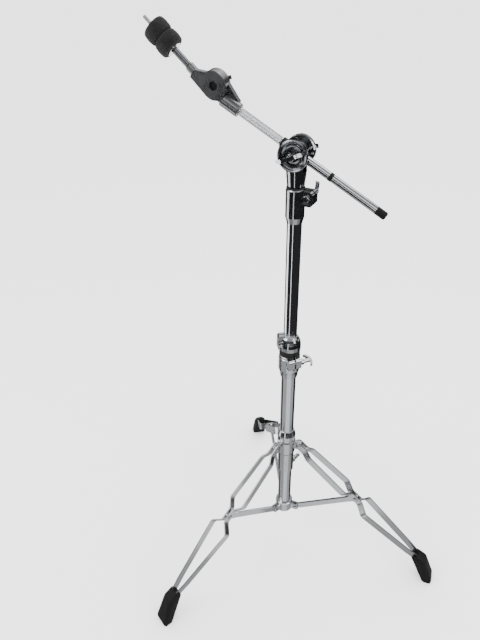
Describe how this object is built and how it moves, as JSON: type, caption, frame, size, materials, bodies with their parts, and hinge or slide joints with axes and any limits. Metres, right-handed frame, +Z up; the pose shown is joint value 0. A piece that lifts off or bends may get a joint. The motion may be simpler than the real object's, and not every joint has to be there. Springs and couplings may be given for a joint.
{
  "type": "cymbal boom stand",
  "caption": "Folding double-braced tripod stand with telescoping tubes, a tilting sliding boom and a cymbal tilter with felts.",
  "frame": {"origin": "on the axis of the base tube, at the level of the floor under the feet", "axes": "+Z up along the tubes; the boom lies in the XZ plane with its raised cymbal end towards -X and its rear end towards +X"},
  "size_m": [0.5946, 0.6204, 1.1043],
  "materials": {
    "chrome": "polished, fine wear",
    "dark_chrome": "polished castings",
    "black_rubber": "moulded, satin",
    "black_nylon": "matte",
    "black_felt": "pressed felt"
  },
  "bodies": {
    "base": {"base_tube": "chrome", "base_tube_plug": "black_rubber", "lower_collar": "chrome", "lower_collar_pins": "chrome", "lower_clamp": "chrome", "lower_clamp_bolt": "chrome"},
    "sliding_collar": {"tripod_collar": "chrome", "collar_pins": "chrome"},
    "collar_wing": {"collar_wing_bolt": "chrome"},
    "right_leg": {"right_leg_strip_1": "chrome", "right_leg_strip_2": "chrome", "right_knee_rivet": "chrome", "right_foot": "black_rubber"},
    "back_leg": {"back_leg_strip_1": "chrome", "back_leg_strip_2": "chrome", "back_knee_rivet": "chrome", "back_foot": "black_rubber"},
    "left_leg": {"left_leg_strip_1": "chrome", "left_leg_strip_2": "chrome", "left_knee_rivet": "chrome", "left_foot": "black_rubber"},
    "right_link": {"right_brace": "chrome", "right_knee_pin": "chrome"},
    "back_link": {"back_brace": "chrome", "back_knee_pin": "chrome"},
    "left_link": {"left_brace": "chrome", "left_knee_pin": "chrome"},
    "lower_wing": {"lower_wing_nut": "chrome"},
    "lower_bushing": {"lower_liner": "black_nylon"},
    "middle_section": {"middle_tube": "chrome", "memory_lock": "dark_chrome", "memory_lock_bolt": "chrome", "upper_clamp": "chrome", "upper_clamp_bolt": "chrome"},
    "upper_wing": {"upper_wing_nut": "chrome"},
    "upper_bushing": {"upper_liner": "black_nylon"},
    "boom_base": {"boom_post": "chrome", "boom_yoke": "dark_chrome", "front_dish": "dark_chrome", "ratchet_drum": "dark_chrome"},
    "boom_tilter": {"boom_clamp": "dark_chrome", "tilt_stud": "chrome"},
    "rear_wing": {"rear_wing_nut": "chrome"},
    "front_wing": {"front_wing_bolt": "chrome"},
    "rod_bushing": {"boom_bushing": "black_nylon"},
    "boom_arm": {"boom_rod": "chrome", "boom_ring": "black_rubber", "boom_end_cap": "black_rubber", "tilter_lower_arm": "dark_chrome"},
    "tilter_wing": {"tilter_wing_nut": "chrome"},
    "cymbal_arm": {"tilter_upper_arm": "dark_chrome", "tilter_bolt": "chrome", "cymbal_rod": "chrome", "rod_ferrule": "dark_chrome", "seat_washer": "chrome", "felt_sleeve": "black_nylon"},
    "felt_below": {"lower_felt": "black_felt"},
    "felt_above": {"upper_felt": "black_felt"}
  },
  "joints": [
    {"name": "collar_slide", "type": "slide", "parent": "base", "child": "sliding_collar", "axis": [0, 0, 1], "range_m": [0, 0.12962]},
    {"name": "collar_wing_turn", "type": "hinge", "parent": "sliding_collar", "child": "collar_wing", "pos_m": [0.0109, 0.02138, 0.242], "axis": [0.454, 0.891, 0], "continuous": true},
    {"name": "right_leg_fold", "type": "hinge", "parent": "sliding_collar", "child": "right_leg", "pos_m": [0.02866, 0.0015, 0.312], "axis": [-0.0523, 0.9986, 0], "range_deg": [0, 44.71]},
    {"name": "back_leg_fold", "type": "hinge", "parent": "sliding_collar", "child": "back_leg", "pos_m": [-0.01563, 0.02407, 0.312], "axis": [-0.8387, -0.5446, 0], "range_deg": [0, 44.71]},
    {"name": "left_leg_fold", "type": "hinge", "parent": "sliding_collar", "child": "left_leg", "pos_m": [-0.01303, -0.02557, 0.312], "axis": [0.891, -0.454, 0], "range_deg": [0, 44.71]},
    {"name": "right_brace_fold", "type": "hinge", "parent": "base", "child": "right_link", "pos_m": [0.02866, 0.0015, 0.1075], "axis": [0.0523, -0.9986, 0], "range_deg": [0, 51.83]},
    {"name": "back_brace_fold", "type": "hinge", "parent": "base", "child": "back_link", "pos_m": [-0.01563, 0.02407, 0.1075], "axis": [0.8387, 0.5446, 0], "range_deg": [0, 51.83]},
    {"name": "left_brace_fold", "type": "hinge", "parent": "base", "child": "left_link", "pos_m": [-0.01303, -0.02557, 0.1075], "axis": [-0.891, 0.454, 0], "range_deg": [0, 51.83]},
    {"name": "lower_wing_turn", "type": "hinge", "parent": "base", "child": "lower_wing", "pos_m": [0.02364, -0.00503, 0.5385], "axis": [0.6947, 0.7193, 0], "continuous": true},
    {"name": "middle_swivel", "type": "hinge", "parent": "base", "child": "lower_bushing", "pos_m": [0, 0, 0.53], "axis": [0, 0, 1], "continuous": true},
    {"name": "middle_slide", "type": "slide", "parent": "lower_bushing", "child": "middle_section", "axis": [0, 0, 1], "range_m": [0, 0.22]},
    {"name": "upper_wing_turn", "type": "hinge", "parent": "middle_section", "child": "upper_wing", "pos_m": [0.02336, 0.0088, 0.8605], "axis": [0.0872, 0.9962, 0], "continuous": true},
    {"name": "boom_swivel", "type": "hinge", "parent": "middle_section", "child": "upper_bushing", "pos_m": [0, 0, 0.85], "axis": [0, 0, 1], "continuous": true},
    {"name": "post_slide", "type": "slide", "parent": "upper_bushing", "child": "boom_base", "axis": [0, 0, 1], "range_m": [0, 0.12]},
    {"name": "boom_tilt", "type": "hinge", "parent": "boom_base", "child": "boom_tilter", "pos_m": [0, 0, 0.9265], "axis": [0, 1, 0], "range_deg": [-74.5, 15.5]},
    {"name": "rear_wing_turn", "type": "hinge", "parent": "boom_tilter", "child": "rear_wing", "pos_m": [0, 0.024, 0.9265], "axis": [0, 1, 0], "continuous": true},
    {"name": "front_wing_turn", "type": "hinge", "parent": "boom_tilter", "child": "front_wing", "pos_m": [0, -0.019, 0.9265], "axis": [0, -1, 0], "continuous": true},
    {"name": "boom_roll", "type": "hinge", "parent": "boom_tilter", "child": "rod_bushing", "pos_m": [0, 0, 0.9265], "axis": [-0.8704, 0, 0.4924], "continuous": true},
    {"name": "boom_slide", "type": "slide", "parent": "rod_bushing", "child": "boom_arm", "axis": [-0.8704, 0, 0.4924], "range_m": [-0.074, 0.041]},
    {"name": "tilter_wing_turn", "type": "hinge", "parent": "boom_arm", "child": "tilter_wing", "pos_m": [-0.12995, 0.00595, 1.01564], "axis": [0.077, 0.9877, 0.1362], "continuous": true},
    {"name": "cymbal_tilt", "type": "hinge", "parent": "boom_arm", "child": "cymbal_arm", "pos_m": [-0.13057, -0.00196, 1.01456], "axis": [0.077, 0.9877, 0.1362], "range_deg": [-74, 76]},
    {"name": "felt_spin", "type": "hinge", "parent": "cymbal_arm", "child": "felt_below", "pos_m": [-0.20088, -0.00328, 1.06391], "axis": [-0.7268, -0.0378, 0.6858], "continuous": true},
    {"name": "felt_lift", "type": "slide", "parent": "cymbal_arm", "child": "felt_above", "axis": [-0.7268, -0.0378, 0.6858], "range_m": [0, 0.0165]}
  ],
  "couplings": [
    {"joint": "right_leg_fold", "follows": "collar_slide", "rad_per_m": 6.0191},
    {"joint": "back_leg_fold", "follows": "collar_slide", "rad_per_m": 6.0191},
    {"joint": "left_leg_fold", "follows": "collar_slide", "rad_per_m": 6.0191},
    {"joint": "right_brace_fold", "follows": "collar_slide", "rad_per_m": 6.9785},
    {"joint": "back_brace_fold", "follows": "collar_slide", "rad_per_m": 6.9785},
    {"joint": "left_brace_fold", "follows": "collar_slide", "rad_per_m": 6.9785}
  ]
}
